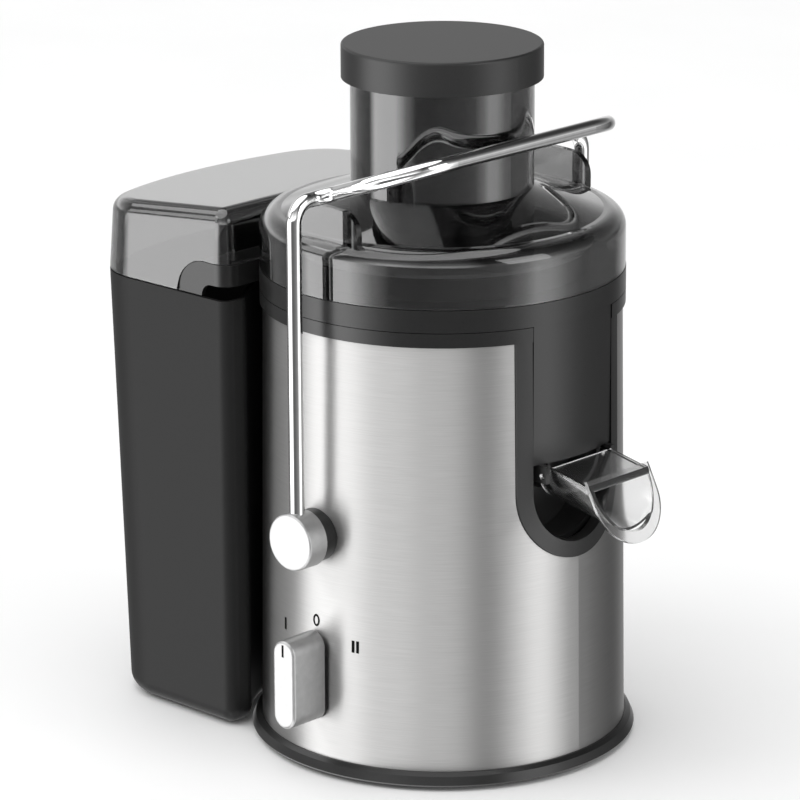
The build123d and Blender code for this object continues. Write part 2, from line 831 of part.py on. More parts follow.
def saddle_profile(inset):
    """Draw the saddle seen from the front: level top, quarter round down to its foot."""
    radius = saddle_radius - inset
    with BuildLine() as outline:
        Line((-container_tip_x, z_band_top - inset), (-saddle_centre_x, z_band_top - inset))
        CenterArc((-saddle_centre_x, z_split), radius, 90, 90)
        Polyline(
            (-saddle_centre_x - radius, z_split),
            (-container_tip_x, z_split),
            (-container_tip_x, z_band_top - inset),
        )
    make_face(outline.edges())


def saddle_plan(inset):
    """Draw the saddle seen from above, with rounded corners towards the body."""
    with Locations(((-container_tip_x - saddle_end_x) / 2 - 10, 0)):
        RectangleRounded(
            saddle_end_x - container_tip_x + 20 - 2 * inset,
            2 * (saddle_half_width - inset),
            8 - inset,
        )


with BuildPart() as saddle:
    with BuildSketch(front(-100)):
        saddle_profile(0)
    extrude(amount=200)
    with BuildSketch(Plane.XY.offset(z_split - 1)):
        saddle_plan(0)
    extrude(amount=40, mode=Mode.INTERSECT)

with BuildPart() as saddle_hollow:
    with BuildSketch(front(-100)):
        saddle_profile(bowl_wall)
    extrude(amount=200)
    with BuildSketch(Plane.XY.offset(z_split - 1)):
        saddle_plan(bowl_wall)
    extrude(amount=40, mode=Mode.INTERSECT)

with BuildPart() as saddle_arch:
    with BuildSketch(front(-100)):
        with BuildLine():
            Polyline(
                (-saddle_centre_x - 1.0, z_split - 5),
                (-saddle_centre_x - 1.0, z_split),
            )
            CenterArc((-saddle_centre_x - 1.0 + arch_radius, z_split), arch_radius, 90, 90)
            Polyline(
                (-saddle_centre_x - 1.0 + arch_radius, z_band_bottom),
                (0, z_band_bottom),
                (0, z_split - 5),
                (-saddle_centre_x - 1.0, z_split - 5),
            )
        make_face()
    extrude(amount=200)

with BuildPart() as juice_bowl:
    add(saddle.part)
    add(saddle_hollow.part, mode=Mode.SUBTRACT)
    add(saddle_arch.part, mode=Mode.SUBTRACT)
    with BuildSketch(Plane.XZ):
        tube_profile(bowl_tub_radius, 0, z_bowl_floor, z_divider)
    revolve(mode=Mode.SUBTRACT)
    with BuildSketch(Plane.XZ):
        turned(
            (hub_inner, z_bowl_floor),
            (bowl_tub_radius, z_bowl_floor),
            (bowl_tub_radius, z_band_top - bowl_wall),
            (skirt_radius - bowl_wall, z_band_top - bowl_wall),
            (skirt_radius - bowl_wall, z_band_bottom - 9),
            (skirt_radius, z_band_bottom - 9),
            (skirt_radius, z_band_bottom),
            (collar_radius, z_band_bottom),
            (collar_radius, z_band_top),
            (bowl_tub_radius, z_band_top),
            (bowl_tub_radius, z_divider),
            (bowl_tub_radius - bowl_wall, z_divider),
            (bowl_tub_radius - bowl_wall, z_bowl_floor + bowl_wall),
            (hub_outer, z_bowl_floor + bowl_wall),
            (hub_outer, z_hub_top),
            (hub_inner, z_hub_top),
        )
    revolve()
    # juice duct below the tub, closed in front by the apron
    with BuildSketch(Plane.YZ.offset(bowl_tub_radius - 4)):
        u_shape(duct_radius, apron_bottom_z - 1, z_bowl_floor + 20)
    extrude(amount=duct_end_x - bowl_tub_radius + 4)
    with BuildSketch(Plane.YZ.offset(bowl_tub_radius - 4 + bowl_wall)):
        u_shape(duct_radius - 2.2, apron_bottom_z - 1, z_bowl_floor + 17.5)
    extrude(amount=duct_end_x, mode=Mode.SUBTRACT)
    with BuildSketch(Plane.YZ.offset(bowl_tub_radius - 10)):
        with Locations((0, z_bowl_floor + bowl_wall + 7)):
            Rectangle(28, 14)
    extrude(amount=14, mode=Mode.SUBTRACT)
    # ears that carry the spout's pins
    for side in (-1, 1):
        with BuildSketch(front(side * ear_inner_y)):
            with Locations((spout_pin_x - 3.5, spout_pin_z + 1)):
                Rectangle(12, 8)
            with Locations((spout_pin_x, spout_pin_z)):
                Circle(spout_pin_radius + 0.1, mode=Mode.SUBTRACT)
        extrude(amount=side * ear_thickness)
        with BuildSketch(front(side * (duct_radius - 1))):
            with Locations((spout_pin_x - 8.0, spout_pin_z + 1)):
                Rectangle(3, 8)
        extrude(amount=side * (ear_inner_y + ear_thickness - duct_radius + 1))

with BuildPart() as apron:
    with BuildSketch(Plane.XZ):
        tube_profile(apron_outer, apron_outer - bowl_wall, apron_bottom_z, z_band_bottom + 1)
    revolve()
    with BuildSketch(Plane.YZ.offset(60)):
        with Locations((0, (apron_bottom_z + z_band_top) / 2)):
            Rectangle(2 * (outlet_half_width - apron_gap), z_band_top - apron_bottom_z)
    extrude(amount=40, mode=Mode.INTERSECT)

with BuildPart() as bowl_with_apron:
    add(juice_bowl.part)
    add(apron.part)
save(bowl_with_apron, "juice_bowl")

# ---- drip spout ---------------------------------------------------------------------------

slope = radians(spout_fall)
spout_axis_z = apron_bottom_z - 1.6
spout_start_x = duct_end_x - 2.5
flange_set_back = 3.1
flange_drop = 6.3           # below the trough's axis

spout_plane = Plane(
    origin=(spout_pin_x, 0, spout_axis_z),
    x_dir=(0, 1, 0),
    z_dir=(cos(slope), 0, -sin(slope)),
)
flange_plane = Plane(
    origin=(
        spout_end_x - flange_set_back,
        0,
        spout_axis_z - (spout_end_x - spout_pin_x) * sin(slope) - flange_drop,
    ),
    x_dir=(0, 1, 0),
    z_dir=(cos(radians(flange_tilt)), 0, sin(radians(flange_tilt))),
)
trough_back = -(spout_pin_x - spout_start_x)
trough_length = 40.0
plate_start = 2.6
plate_length = 21.5
plate_top = 1.0
plate_thickness = 1.6
plate_half_width = ear_inner_y - 0.2


def half_round(radius, top):
    """Draw the part of a disc that lies below the line at top."""
    Circle(radius)
    with Locations((0, top + radius)):
        Rectangle(2 * radius, 2 * radius, mode=Mode.SUBTRACT)


with BuildPart() as flange_far_side:
    with BuildSketch(flange_plane):
        Rectangle(120, 120)
    extrude(amount=60)

with BuildPart() as drip_spout:
    with BuildSketch(spout_plane.offset(trough_back)):
        half_round(spout_outer, 0.2)
    extrude(amount=trough_length)
    with BuildSketch(spout_plane.offset(trough_back - 1)):
        half_round(spout_inner, 0.3)
    extrude(amount=trough_length + 10, mode=Mode.SUBTRACT)
    with BuildSketch(spout_plane.offset(plate_start)):
        with Locations((0, plate_top - plate_thickness / 2)):
            Rectangle(2 * plate_half_width, plate_thickness)
    extrude(amount=plate_length)
    with BuildSketch(spout_plane.offset(plate_start + plate_length)):
        with Locations((0, plate_top - 1.6)):
            Rectangle(2 * plate_half_width, 3.2)
    extrude(amount=1.0)
    with BuildSketch(spout_plane.offset(trough_back - 1)):
        half_round(spout_inner, plate_top - plate_thickness)
    extrude(amount=trough_length + 10, mode=Mode.SUBTRACT)
    add(flange_far_side.part, mode=Mode.SUBTRACT)
    with BuildSketch(flange_plane):
        with Locations((0, 1.0)):
            Circle(flange_half_width)
        with Locations((0, 7)):
            Rectangle(2 * flange_half_width, 12)
        with Locations((0, 43)):
            Rectangle(80, 60, mode=Mode.SUBTRACT)
    extrude(amount=-spout_wall)
    with BuildSketch(spout_plane.offset(trough_back - 1)):
        half_round(spout_inner, plate_top - plate_thickness)
    extrude(amount=trough_length + 10, mode=Mode.SUBTRACT)
    for side in (-1, 1):
        with BuildSketch(front(side * (spout_inner + 0.2))):
            with Locations((spout_pin_x, spout_pin_z)):
                Circle(spout_pin_radius)
        extrude(amount=side * (ear_inner_y + ear_thickness - 0.4 - spout_inner - 0.2))
save(drip_spout, "drip_spout")

# ---- filter basket ------------------------------------------------------------------------

basket_top_radius = bowl_tub_radius - bowl_wall - mesh_to_tub
rim_radius = bowl_tub_radius + 1.2
disc_thickness = 1.5
hub_cup_inner = coupling_radius + 0.1
hub_cup_outer = hub_inner - 0.9
hub_skirt_inner = hub_outer + 1.5
hub_skirt_outer = hub_skirt_inner + 2.2
z_hub_plate = z_basket_floor - 3.0

with BuildPart() as basket_hub:
    with BuildSketch(Plane.XZ):
        turned(
            (0, z_coupling + coupling_height + 0.5),
            (hub_cup_inner, z_coupling + coupling_height + 0.5),
            (hub_cup_inner, z_coupling + 5),
            (hub_cup_outer, z_coupling + 5),
            (hub_cup_outer, z_hub_plate),
            (hub_skirt_inner, z_hub_plate),
            (hub_skirt_inner, z_coupling + 14),
            (hub_skirt_outer, z_coupling + 14),
            (hub_skirt_outer, z_hub_plate),
            (basket_floor_radius, z_hub_plate),
            (basket_floor_radius, z_basket_floor),
            (0, z_basket_floor),
        )
    revolve()
save(basket_hub, "basket_hub")

with BuildPart() as filter_mesh:
    with BuildSketch(Plane.XZ):
        turned(
            (basket_floor_radius, z_hub_plate),
            (basket_floor_radius + basket_sheet, z_hub_plate),
            (basket_top_radius, z_rim),
            (basket_top_radius - basket_sheet, z_rim),
            (basket_floor_radius, z_basket_floor + 1),
        )
    revolve()
save(filter_mesh, "filter_mesh")

tooth_rows = 7
tooth_step = 5.2
tooth_height = 1.4

with BuildPart() as grater_disc:
    with BuildSketch(Plane.XY.offset(z_basket_floor)):
        Circle(basket_floor_radius - 0.5)
    extrude(amount=disc_thickness)
    for row in range(1, tooth_rows + 1):
        with BuildSketch(Plane.XY.offset(z_basket_floor + disc_thickness)):
            with PolarLocations(row * tooth_step, 4 * row):
                Rectangle(1.6, 1.0)
        extrude(amount=tooth_height)
save(grater_disc, "grater_disc")

with BuildPart() as basket_rim:
    with BuildSketch(Plane.XZ):
        turned(
            (basket_top_radius - 2.5, z_rim),
            (rim_radius, z_rim),
            (rim_radius, z_rim + 1.6),
            (basket_top_radius + 1, z_rim + rim_height),
            (basket_top_radius - 2.5, z_rim + rim_height),
        )
    revolve()
save(basket_rim, "basket_rim")

# ---- lid ----------------------------------------------------------------------------------

z_cover_bottom = z_split + seat_gap
dome_edge_radius = lid_radius - lid_edge_radius - 2.0
far_corner_radius = 30.0
cover_edge_radius = 7.0
ear_front_x = 21.0
ear_back_x = -15.0
ear_width = 3.0
ear_clearance = 0.5
ear_top_radius = bail_shoulder_z - bail_rod_radius - ear_clearance - bail_pivot_z


def lid_circle(inset, bottom):
    """The lid over the bowl: an upright wall with a rounded shoulder and a low dome."""
    top = z_shoulder - inset
    with BuildPart() as form:
        with BuildSketch(Plane.XY.offset(bottom)):
            Circle(lid_radius - inset)
        extrude(amount=top - bottom)
        fillet(form.edges().group_by(Axis.Z)[-1], lid_edge_radius - inset)
        with BuildSketch(Plane.XZ):
            with BuildLine() as outline:
                Line((0, top - 1), (dome_edge_radius, top - 1))
                Line((dome_edge_radius, top - 1), (dome_edge_radius, top))
                ThreePointArc(
                    (dome_edge_radius, top),
                    ((dome_edge_radius + chute_radius) / 2 + 2, top + dome_rise / 2 - 0.6),
                    (chute_radius - 1, top + dome_rise),
                )
                Line((chute_radius - 1, top + dome_rise), (0, top + dome_rise))
                Line((0, top + dome_rise), (0, top - 1))
            make_face(outline.edges())
        revolve()
    return form.part


def lid_cover(inset, bottom):
    """The cover over the container: drafted sides and a top that falls away from the lid."""
    with BuildPart() as form:
        with BuildSketch(Plane.XY.offset(z_cover_bottom)) as plan:
            with Locations((-container_tip_x - container_far_radius / 2, 0)):
                Rectangle(container_far_radius, 2 * container_half_width)
            Circle(container_far_radius, mode=Mode.INTERSECT)
            fillet(plan.vertices().group_by(Axis.X)[0], far_corner_radius)
            fillet(plan.vertices().group_by(Axis.X)[-1], 8)
            offset(amount=-inset)
        extrude(amount=z_shoulder - z_cover_bottom, taper=cover_draft)
        split(
            bisect_by=Plane(
                origin=(-container_tip_x, 0, z_shoulder - inset),
                z_dir=(-sin(radians(cover_slope)), 0, cos(radians(cover_slope))),
            ),
            keep=Keep.BOTTOM,
        )
        top_face = form.faces().sort_by(Axis.Z)[-1]
        fillet(top_face.edges(), cover_edge_radius - inset)
        if bottom < z_cover_bottom:
            with BuildSketch(Plane.XY.offset(z_cover_bottom)):
                add(plan.sketch)
            extrude(amount=bottom - z_cover_bottom)
    return form.part


with BuildPart() as saddle_clearance:
    with BuildSketch(front(-100)):
        with BuildLine() as clearance_outline:
            Line((0, z_lid_bottom), (-saddle_centre_x, z_lid_bottom))
            CenterArc((-saddle_centre_x, z_split), saddle_radius + seat_gap, 90, 90)
            Polyline(
                (-saddle_end_x - seat_gap, z_split),
                (-saddle_end_x - seat_gap, z_split - 10),
                (0, z_split - 10),
                (0, z_lid_bottom),
            )
        make_face(clearance_outline.edges())
    extrude(amount=200)

with BuildPart() as lid:
    add(lid_circle(0, z_lid_bottom))
    add(lid_cover(0, z_cover_bottom))
    add(lid_circle(lid_wall, z_lid_bottom - 1), mode=Mode.SUBTRACT)
    add(lid_cover(lid_wall, z_cover_bottom - 1), mode=Mode.SUBTRACT)
    add(saddle_clearance.part, mode=Mode.SUBTRACT)
    # feed chute, narrowing towards its mouth over the grater
    with BuildSketch(Plane.XZ):
        turned(
            (0, z_chute_end),
            (chute_mouth_radius, z_chute_end),
            (chute_radius, z_shoulder - lid_wall),
            (chute_radius, z_chute_top),
            (0, z_chute_top),
        )
    revolve()
    with BuildSketch(Plane.XZ):
        turned(
            (0, z_chute_end),
            (mouth_bore, z_chute_end),
            (chute_bore, z_shoulder - lid_wall),
            (chute_bore, z_chute_top),
            (0, z_chute_top),
        )
    revolve(mode=Mode.SUBTRACT)
    # ears that the bail slides onto, topped by an arc about the bail's pivot
    for side in (-1, 1):
        with BuildSketch(front(side * (bail_arm_half_width - ear_width / 2))):
            with Locations((0, bail_pivot_z)):
                Circle(ear_top_radius)
            with Locations(((ear_front_x + ear_back_x) / 2, z_shoulder + 10)):
                Rectangle(ear_front_x - ear_back_x, 24.8, mode=Mode.INTERSECT)
        extrude(amount=side * ear_width)
    ear_corners = lid.edges().filter_by(Axis.Y).filter_by_position(Axis.Z, z_shoulder + 8, z_shoulder + 20)
    fillet(ear_corners.group_by(Axis.X)[-1], 10)
save(lid, "lid")

# ---- pusher -------------------------------------------------------------------------------

taper_rate = (chute_radius - chute_mouth_radius) / (z_shoulder - lid_wall - z_chute_end)
pusher_radius = chute_bore - pusher_gap
pusher_end_radius = pusher_radius - taper_rate * (z_shoulder - lid_wall - z_pusher_end)
cap_wall = 3.0

with BuildPart() as pusher_body:
    with BuildSketch(Plane.XZ):
        turned(
            (0, z_pusher_end),
            (pusher_end_radius, z_pusher_end),
            (pusher_radius, z_shoulder - lid_wall),
            (pusher_radius, z_cap_bottom),
            (cap_radius - cap_wall - 0.2, z_cap_bottom),
            (cap_radius - cap_wall - 0.2, z_cap_bottom + pusher_wall),
            (pusher_radius - pusher_wall, z_cap_bottom + pusher_wall),
            (pusher_radius - pusher_wall, z_shoulder - lid_wall),
            (pusher_end_radius - pusher_wall, z_pusher_end + pusher_wall),
            (0, z_pusher_end + pusher_wall),
        )
    revolve()
save(pusher_body, "pusher_body")

plug_radius = pusher_radius - pusher_wall - 0.2

with BuildPart() as pusher_cap:
    with BuildSketch(Plane.XZ):
        turned(
            (0, z_cap_top - cap_wall),
            (plug_radius - 2, z_cap_top - cap_wall),
            (plug_radius - 2, z_cap_bottom - 6),
            (plug_radius, z_cap_bottom - 6),
            (plug_radius, z_cap_top - cap_wall),
            (cap_radius - cap_wall, z_cap_top - cap_wall),
            (cap_radius - cap_wall, z_cap_bottom),
            (cap_radius, z_cap_bottom),
            (cap_radius, z_cap_top),
            (0, z_cap_top),
        )
    revolve()
    fillet(pusher_cap.edges().group_by(Axis.Z)[-1], 1.2)
save(pusher_cap, "pusher_cap")

# ---- pulp container -----------------------------------------------------------------------

z_container_rim = z_split - 0.5
container_edge_radius = 8.0
tip_radius = 5.5


def container_outline(inset, far_radius):
    """Draw the container seen from above: concave towards the body, convex at the far end."""
    with BuildSketch(mode=Mode.PRIVATE) as outline:
        with Locations((-container_tip_x - far_radius / 2, 0)):
            Rectangle(far_radius, 2 * container_half_width)
        Circle(far_radius, mode=Mode.INTERSECT)
        Circle(container_inner_radius, mode=Mode.SUBTRACT)
        fillet(outline.vertices().group_by(Axis.X)[0], far_corner_radius)
        fillet(outline.vertices().group_by(Axis.X)[-1], tip_radius)
        offset(amount=-inset)
    add(outline.sketch)


def container_form(inset, bottom):
    """A lofted block from the smaller foot up to the rim."""
    with BuildPart() as form:
        with BuildSketch(Plane.XY.offset(bottom)):
            container_outline(inset, container_foot_far_radius)
        with BuildSketch(Plane.XY.offset(z_container_rim)):
            container_outline(inset, container_far_radius)
        loft(ruled=True)
        fillet(form.edges().group_by(Axis.Z)[0], container_edge_radius - inset)
    return form.part


with BuildPart() as pulp_container:
    add(container_form(0, 0))
    add(container_form(container_wall, container_wall), mode=Mode.SUBTRACT)
save(pulp_container, "pulp_container")
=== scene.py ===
"""The looks of an upright centrifugal juicer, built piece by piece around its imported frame.

Metres. Z is up and is the axis that the filter basket turns about, and Z = 0 is the table.
+X is the side of the spout, -X the side of the pulp container, -Y the front with the knobs.
"""

import bpy
import numpy as np
from mathutils import Matrix, Vector


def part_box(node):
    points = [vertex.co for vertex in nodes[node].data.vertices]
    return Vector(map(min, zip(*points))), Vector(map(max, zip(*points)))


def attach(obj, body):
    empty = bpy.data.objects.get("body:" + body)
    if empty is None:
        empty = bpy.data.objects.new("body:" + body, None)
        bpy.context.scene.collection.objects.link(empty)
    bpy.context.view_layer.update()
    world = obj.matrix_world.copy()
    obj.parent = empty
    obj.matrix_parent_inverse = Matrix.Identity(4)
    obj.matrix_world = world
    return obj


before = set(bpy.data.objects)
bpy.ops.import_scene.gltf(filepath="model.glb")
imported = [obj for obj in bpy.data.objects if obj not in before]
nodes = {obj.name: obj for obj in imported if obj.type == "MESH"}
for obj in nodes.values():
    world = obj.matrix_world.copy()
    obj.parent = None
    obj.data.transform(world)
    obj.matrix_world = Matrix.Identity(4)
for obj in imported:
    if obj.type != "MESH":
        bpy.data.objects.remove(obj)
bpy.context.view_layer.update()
scene = bpy.context.scene
TAU = 2 * np.pi
MM = 0.001

# ---- camera and studio --------------------------------------------------------------------
# A long lens at about head height, a little right of the front corner, so that the steel
# front, the container and the spout all show. The frame is square.

camera_place = Vector((1.2969, -1.3907, 0.7302))
camera_forward = Vector((-0.65987, 0.69333, -0.28970)).normalized()
camera_roll = np.radians(-0.244)

lens = bpy.data.cameras.new("studio_camera")
lens.sensor_width = 36.0
lens.lens = 197.64
lens.clip_end = 50.0
camera = bpy.data.objects.new("studio_camera", lens)
scene.collection.objects.link(camera)
across = camera_forward.cross(Vector((0, 0, 1))).normalized()
upward = across.cross(camera_forward)
turn = Matrix((across, upward, -camera_forward)).transposed().to_4x4()
camera.matrix_world = Matrix.Translation(camera_place) @ turn @ Matrix.Rotation(camera_roll, 4, "Z")
scene.camera = camera
scene.view_settings.view_transform = "Standard"


def wire(tree, source, output, target, socket):
    """Join one node's output to another node's input, by socket name or number."""
    tree.links.new(source.outputs[output], target.inputs[socket])


# The studio is a white room. What shines sees more of it than the eye does: at table height
# there are two tall soft boxes with darkness between them, and above and below that belt the
# walls are lighter or darker by compass angle, which gives brushed steel its upright bands.
world = bpy.data.worlds.new("studio")
world.use_nodes = True
scene.world = world
sky = world.node_tree
sky.nodes.clear()
direction = sky.nodes.new("ShaderNodeTexCoord")
split = sky.nodes.new("ShaderNodeSeparateXYZ")
compass = sky.nodes.new("ShaderNodeMath")
compass.operation = "ARCTAN2"
ray = sky.nodes.new("ShaderNodeLightPath")
wire(sky, direction, "Generated", split, 0)
wire(sky, split, "Y", compass, 0)
wire(sky, split, "X", compass, 1)


def ramp_of(source, low, high, stops):
    """A smooth curve of greys over a range of the source value. stops are (value, grey)."""
    share = sky.nodes.new("ShaderNodeMapRange")
    share.inputs["From Min"].default_value = low
    share.inputs["From Max"].default_value = high
    ramp = sky.nodes.new("ShaderNodeValToRGB")
    while len(ramp.color_ramp.elements) < len(stops):
        ramp.color_ramp.elements.new(0.5)
    for element, (value, grey) in zip(ramp.color_ramp.elements, stops):
        element.position = (value - low) / (high - low)
        element.color = (grey, grey, grey, 1.0)
    wire(sky, source, 0, share, "Value")
    wire(sky, share, 0, ramp, "Fac")
    return ramp


def sum_of(kind, first, second):
    """One arithmetic node on two greys, each a node or a number."""
    result = sky.nodes.new("ShaderNodeMath")
    result.operation = kind
    for place, value in enumerate((first, second)):
        if np.isscalar(value):
            result.inputs[place].default_value = value
        else:
            wire(sky, value, 0, result, place)
    return result


def blend_of(share, first, second):
    """The first grey where share is 0 and the second where it is 1."""
    kept = sum_of("MULTIPLY", sum_of("SUBTRACT", 1.0, share), first)
    return sum_of("ADD", kept, sum_of("MULTIPLY", share, second))


def reading(source, output):
    """A node that passes on one named output of another, so that it can be read by number."""
    passed_on = sum_of("ADD", 0.0, 0.0)
    wire(sky, source, output, passed_on, 0)
    return passed_on


def lit_by_compass(stops, strength):
    """Light that depends on the compass angle. stops are (degrees, grey)."""
    ramp = ramp_of(compass, -np.pi, np.pi, [(np.radians(angle), grey) for angle, grey in stops])
    return sum_of("MULTIPLY", ramp, strength)


wall_stops = [
    (-180, 0.74), (-167, 0.74), (-158, 0.36), (-141, 0.12), (-126, 0.08), (-115, 0.22), (-97, 1.00),
    (-82, 1.60), (-70, 1.35), (-60, 1.00), (-55, 1.10), (-42, 1.15), (-31, 0.90), (-19, 0.20),
    (-14, 0.30), (-4, 0.46), (10, 0.84), (20, 0.92), (32, 0.72), (46, 0.38), (62, 0.20), (82, 0.14),
    (100, 0.16), (115, 0.28), (128, 0.50), (160, 0.60), (180, 0.74),
]
box_stops = [
    (-180, 0.06), (-150, 0.05), (-139, 0.90), (-108, 1.00), (-92, 0.30), (-80, 0.04), (-62, 0.03),
    (-20, 0.06), (-6, 0.10), (6, 0.30), (14, 0.55), (24, 0.50), (38, 0.20), (50, 0.08), (90, 0.02),
    (112, 0.12), (130, 0.20), (180, 0.06),
]
belt_stops = [(-0.56, 0.0), (-0.44, 1.0), (0.02, 1.0), (0.14, 0.0)]
ceiling_stops = [(0.15, 1.0), (0.32, 0.5), (0.60, 0.15), (1.0, 0.1)]
wall_strength = 1.9
box_strength = 4.0
room_white = 1.0
room_fill = 0.42

walls = lit_by_compass(wall_stops, wall_strength)
boxes = lit_by_compass(box_stops, box_strength)
height = reading(split, "Z")
belt = ramp_of(height, -1.0, 1.0, belt_stops)
ceiling_fade = ramp_of(height, -1.0, 1.0, ceiling_stops)
shining = blend_of(belt, sum_of("MULTIPLY", walls, ceiling_fade), boxes)
room_light = blend_of(reading(ray, "Is Diffuse Ray"), room_white, room_fill)
room_light = blend_of(reading(ray, "Is Glossy Ray"), room_light, shining)
background = sky.nodes.new("ShaderNodeBackground")
surround = sky.nodes.new("ShaderNodeOutputWorld")
wire(sky, room_light, 0, background, "Strength")
wire(sky, background, 0, surround, "Surface")
background.inputs["Color"].default_value = (1.0, 1.0, 1.0, 1.0)

ceiling = bpy.data.lights.new("ceiling_light", "SUN")
ceiling.energy = 2.1
ceiling.angle = np.radians(80)
ceiling_light = bpy.data.objects.new("ceiling_light", ceiling)
scene.collection.objects.link(ceiling_light)
ceiling_tilt = Matrix.Rotation(np.radians(-14), 4, "Y") @ Matrix.Rotation(np.radians(10), 4, "X")
ceiling_light.matrix_world = ceiling_tilt

panel_size = 0.9
panel_aim = Vector((0, 0, 0.15))
for name, place, power in (
    ("left_panel", Vector((-1.1, -1.2, 1.0)), 4.5),
    ("right_panel", Vector((1.5, 0.2, 0.9)), 5.0),
):
    soft_light = bpy.data.lights.new(name, "AREA")
    soft_light.shape = "SQUARE"
    soft_light.size = panel_size
    soft_light.energy = power
    panel = bpy.data.objects.new(name, soft_light)
    scene.collection.objects.link(panel)
    facing = (panel_aim - place).to_track_quat("-Z", "Y").to_matrix().to_4x4()
    panel.matrix_world = Matrix.Translation(place) @ facing

# ---- table --------------------------------------------------------------------------------
# A plain pale sheet that the juicer stands on. It runs far past the view.


def surface_finish(name, colour, roughness, spread, scale, depth, rough=None, stretch=(1, 1, 1), metal=0.0):
    """A material with fine noise over it, with the tree and the shader that it is made in.
    The noise shifts the colour by its share spread, lifts the skin by depth and, where rough
    is given as (low, high), moves the roughness between the two."""
    material = bpy.data.materials.new(name)
    material.use_nodes = True
    tree = material.node_tree
    shader = tree.nodes["Principled BSDF"]
    rgb = np.array((colour,) * 3 if np.isscalar(colour) else colour)
    shader.inputs["Base Color"].default_value = (*rgb, 1.0)
    shader.inputs["Roughness"].default_value = roughness
    shader.inputs["Metallic"].default_value = metal
    place = tree.nodes.new("ShaderNodeTexCoord")
    scaled = tree.nodes.new("ShaderNodeMapping")
    scaled.inputs["Scale"].default_value = stretch
    noise = tree.nodes.new("ShaderNodeTexNoise")
    noise.inputs["Scale"].default_value = scale
    noise.inputs["Detail"].default_value = 3.0
    tones = tree.nodes.new("ShaderNodeValToRGB")
    for element, position, side in zip(tones.color_ramp.elements, (0.3, 0.7), (-1, 1)):
        element.position = position
        element.color = (*(rgb * (1 + side * spread)), 1.0)
    bump = tree.nodes.new("ShaderNodeBump")
    bump.inputs["Distance"].default_value = depth
    bump.inputs["Strength"].default_value = 0.6
    wire(tree, place, "Object", scaled, "Vector")
    wire(tree, scaled, 0, noise, "Vector")
    wire(tree, noise, 0, tones, "Fac")
    wire(tree, tones, "Color", shader, "Base Color")
    wire(tree, noise, 0, bump, "Height")
    wire(tree, bump, 0, shader, "Normal")
    if rough is not None:
        spread_out = tree.nodes.new("ShaderNodeMapRange")
        spread_out.inputs["To Min"].default_value = rough[0]
        spread_out.inputs["To Max"].default_value = rough[1]
        wire(tree, noise, 0, spread_out, "Value")
        wire(tree, spread_out, 0, shader, "Roughness")
    return material, tree, shader


table_half = 6.0
table_drop = 0.4 * MM
pale_table, _, _ = surface_finish("pale_table", 0.93, 0.7, 0.01, 6.0, 0.2 * MM)
corner_signs = np.array([(-1, -1), (1, -1), (1, 1), (-1, 1)])
table_corners = np.column_stack([corner_signs * table_half, np.full(4, -table_drop)])
table_mesh = bpy.data.meshes.new("table")
table_mesh.from_pydata(table_corners.tolist(), [], [(0, 1, 2, 3)])
table_mesh.materials.append(pale_table)
table = bpy.data.objects.new("table", table_mesh)
scene.collection.objects.link(table)
table.visible_glossy = False

# ---- base pan, feet and screws ------------------------------------------------------------
# A moulded black pan with four round rubber feet let into its underside. Four screws pass
# up through it into the posts of the upper housing and clamp the steel sleeve between them.


def finish_nodes(material, *names):
    """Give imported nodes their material."""
    for name in names:
        nodes[name].data.materials.clear()
        nodes[name].data.materials.append(material)


black_plastic, _, _ = surface_finish("black_plastic", 0.012, 0.3, 0.1, 900.0, 0.004 * MM, rough=(0.26, 0.32))
rubber, _, _ = surface_finish("rubber", 0.03, 0.8, 0.2, 1200.0, 0.05 * MM)
screw_steel, _, _ = surface_finish("screw_steel", 0.55, 0.3, 0.1, 1500.0, 0.01 * MM, metal=1.0)
finish_nodes(black_plastic, "base_pan")
finish_nodes(rubber, "rubber_feet")
finish_nodes(screw_steel, "base_screws")

# ---- steel sleeve and cord inlet ----------------------------------------------------------
# Thin stainless sheet rolled into a slight cone and brushed around the body. It stands on
# the pan's shelf, and a U is cut out of its right side for the outlet frame. A black moulded
# inlet for the cord is pressed into its back.

brushed_steel, tree, shader = surface_finish(
    "brushed_steel", (0.50, 0.497, 0.493), 0.45, 0.06, 60.0, 0.01 * MM,
    rough=(0.40, 0.48), stretch=(1, 1, 60), metal=1.0,
)
shader.inputs["Anisotropic"].default_value = 0.9
shader.inputs["Anisotropic Rotation"].default_value = 0.25
around = tree.nodes.new("ShaderNodeTangent")
around.direction_type = "RADIAL"
around.axis = "Z"
wire(tree, around, 0, shader, "Tangent")
housing_black, _, _ = surface_finish("housing_black", 0.03, 0.5, 0.1, 700.0, 0.03 * MM)
finish_nodes(brushed_steel, "steel_sleeve")
finish_nodes(housing_black, "cord_inlet")

# ---- motor, switches and board ------------------------------------------------------------
# A universal motor hangs under the deck on two brackets joined by long bolts: laminated iron,
# enamelled copper, carbon brushes in moulded holders. The board and switches sit beside it.

core_iron, _, _ = surface_finish(
    "core_iron", 0.2, 0.5, 0.15, 40.0, 0.1 * MM, stretch=(1, 1, 50), metal=0.8
)
copper, _, _ = surface_finish(
    "copper", (0.72, 0.36, 0.18), 0.35, 0.15, 80.0, 0.1 * MM, stretch=(1, 1, 20), metal=1.0
)
bracket_alloy, _, _ = surface_finish("bracket_alloy", 0.55, 0.5, 0.08, 600.0, 0.05 * MM, metal=1.0)
carbon, _, _ = surface_finish("carbon", 0.05, 0.7, 0.2, 900.0, 0.03 * MM)
circuit_board, _, _ = surface_finish("circuit_board", (0.05, 0.2, 0.09), 0.45, 0.2, 300.0, 0.02 * MM)
finish_nodes(bracket_alloy, "motor_upper_bracket")
finish_nodes(black_plastic, "motor_lower_bracket")
finish_nodes(rubber, "motor_mounts", "shaft_seal")
finish_nodes(screw_steel, "upper_bearing", "lower_bearing", "motor_bolts", "motor_shaft", "switch_spindle")
